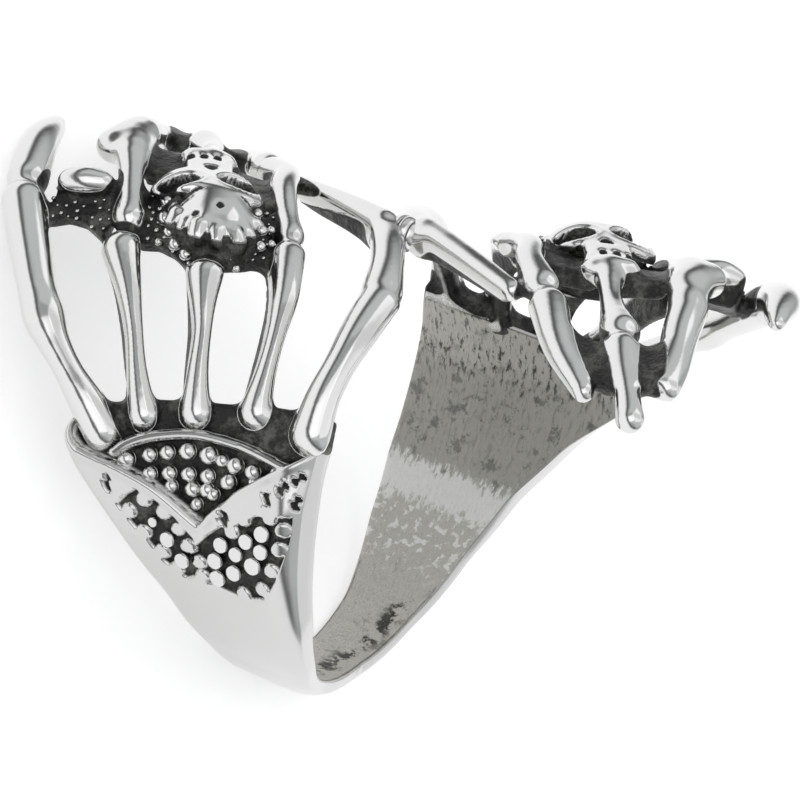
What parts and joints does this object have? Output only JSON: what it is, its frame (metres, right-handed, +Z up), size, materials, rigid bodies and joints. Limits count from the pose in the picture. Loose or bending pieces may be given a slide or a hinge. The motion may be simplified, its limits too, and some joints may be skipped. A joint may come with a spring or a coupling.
{
  "type": "finger ring",
  "caption": "Cast ring of skeleton hands that reach across the finger to each other, a skull on each palm, on cuffs with V-shaped borders that narrow to a plain shank.",
  "frame": {"origin": "middle of the underside of the ring as it lies by itself, on the fingers of one hand and on the edge of its shank", "axes": "+Z up from the surface it lies on; X across the finger; the finger's axis slants down through the ring along (0.03, 0.59, -0.81)"},
  "size_m": [0.0284, 0.029, 0.0283],
  "materials": {
    "antiqued_silver": "polished silver-coloured metal, darkened in its recesses; as-cast grey inside the shank"
  },
  "bodies": {
    "root": {"ring": "antiqued_silver"}
  },
  "joints": []
}
